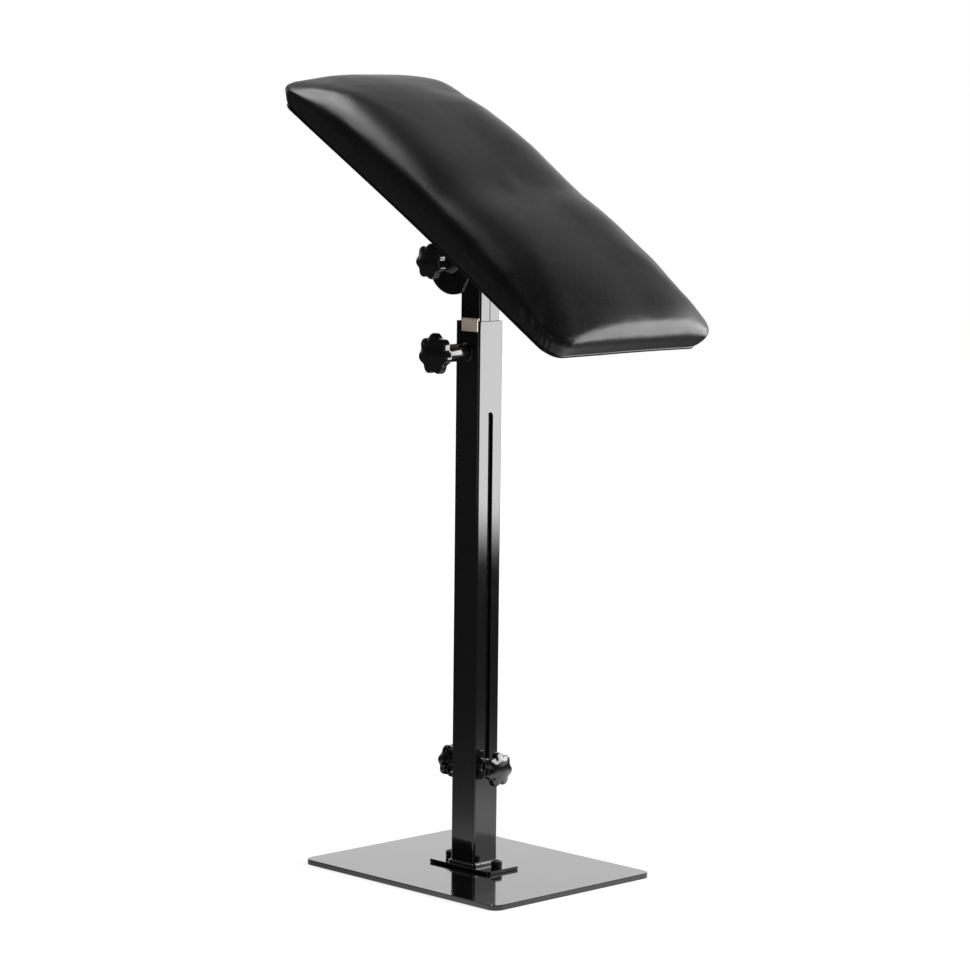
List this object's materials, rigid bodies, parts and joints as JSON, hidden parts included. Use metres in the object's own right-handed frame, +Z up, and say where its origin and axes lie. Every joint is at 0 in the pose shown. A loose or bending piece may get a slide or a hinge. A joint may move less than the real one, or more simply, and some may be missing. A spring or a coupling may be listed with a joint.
{
  "type": "tattoo armrest stand",
  "caption": "Padded arm rest that tilts on a telescoping square steel column with screw-clamp knobs, on a flat rectangular base plate.",
  "frame": {"origin": "middle of the base plate's underside, on the floor", "axes": "+Z up along the column, X along the base plate's and the pad's length with the pad's low end at +X, Y along the pad's pivot with the clamp and tilt knobs at -Y"},
  "size_m": [0.3594, 0.2018, 0.7162],
  "materials": {
    "gloss_black_paint": "gloss black powder coat on steel",
    "black_oxide_steel": "black oxide screws, slightly oily sheen",
    "zinc_plated_steel": "bare strip steel with a warm zinc tone",
    "bright_steel": "bright zinc plated fasteners",
    "black_knob_plastic": "moulded black plastic, semi gloss",
    "black_nylon": "black nylon, satin",
    "brass": "turned brass inserts",
    "plywood": "raw plywood",
    "upholstery_foam": "open cell polyurethane foam",
    "black_vinyl": "black artificial leather with a fine grain, satin",
    "liner_cloth": "black non-woven dust cloth"
  },
  "bodies": {
    "stand": {"base_plate": "gloss_black_paint", "flange_plate": "gloss_black_paint", "flange_washer_front": "black_oxide_steel", "flange_washer_rear": "black_oxide_steel", "flange_screw_front": "black_oxide_steel", "flange_screw_rear": "black_oxide_steel", "column_tube": "gloss_black_paint", "column_weld": "gloss_black_paint", "clamp_nut": "gloss_black_paint", "pressure_strip": "zinc_plated_steel"},
    "clamp": {"clamp_screw": "bright_steel", "clamp_knob": "black_knob_plastic"},
    "mast": {"mast_tube": "gloss_black_paint", "mast_plug": "black_nylon", "mast_cap": "black_nylon", "pivot_sleeve": "gloss_black_paint", "slide_stud": "bright_steel", "slide_washer_front": "bright_steel", "slide_washer_rear": "bright_steel"},
    "front_lock": {"slide_knob_front": "black_knob_plastic", "slide_insert_front": "brass"},
    "rear_lock": {"slide_knob_rear": "black_knob_plastic", "slide_insert_rear": "brass"},
    "head": {"saddle_bracket": "gloss_black_paint", "pivot_bolt": "bright_steel", "pivot_washer": "bright_steel", "friction_washer_left": "black_nylon", "friction_washer_right": "black_nylon", "bracket_screw_1": "black_oxide_steel", "bracket_screw_2": "black_oxide_steel", "bracket_screw_3": "black_oxide_steel", "bracket_screw_4": "black_oxide_steel", "tee_nut_1": "bright_steel", "tee_nut_2": "bright_steel", "tee_nut_3": "bright_steel", "tee_nut_4": "bright_steel", "pad_board": "plywood", "pad_foam": "upholstery_foam", "pad_cover": "black_vinyl", "pad_liner": "liner_cloth"},
    "tilt_lock": {"tilt_knob": "black_knob_plastic", "tilt_insert": "brass"}
  },
  "joints": [
    {"name": "height_slide", "type": "slide", "parent": "stand", "child": "mast", "axis": [0, 0, 1], "range_m": [0, 0.317]},
    {"name": "pad_tilt", "type": "hinge", "parent": "mast", "child": "head", "pos_m": [0, 0, 0.553], "axis": [0, 1, 0], "range_deg": [-121.4, 58.6]},
    {"name": "clamp_knob_turn", "type": "hinge", "parent": "stand", "child": "clamp", "pos_m": [0, -0.03, 0.4715], "axis": [0, -1, 0], "range_deg": [0, 360]},
    {"name": "tilt_knob_turn", "type": "hinge", "parent": "head", "child": "tilt_lock", "pos_m": [0, -0.04, 0.553], "axis": [0, -1, 0], "range_deg": [0, 360]},
    {"name": "front_lock_turn", "type": "hinge", "parent": "mast", "child": "front_lock", "pos_m": [0.02, 0, 0.0975], "axis": [1, 0, 0], "range_deg": [0, 360]},
    {"name": "rear_lock_turn", "type": "hinge", "parent": "mast", "child": "rear_lock", "pos_m": [-0.02, 0, 0.0975], "axis": [-1, 0, 0], "range_deg": [0, 360]}
  ]
}
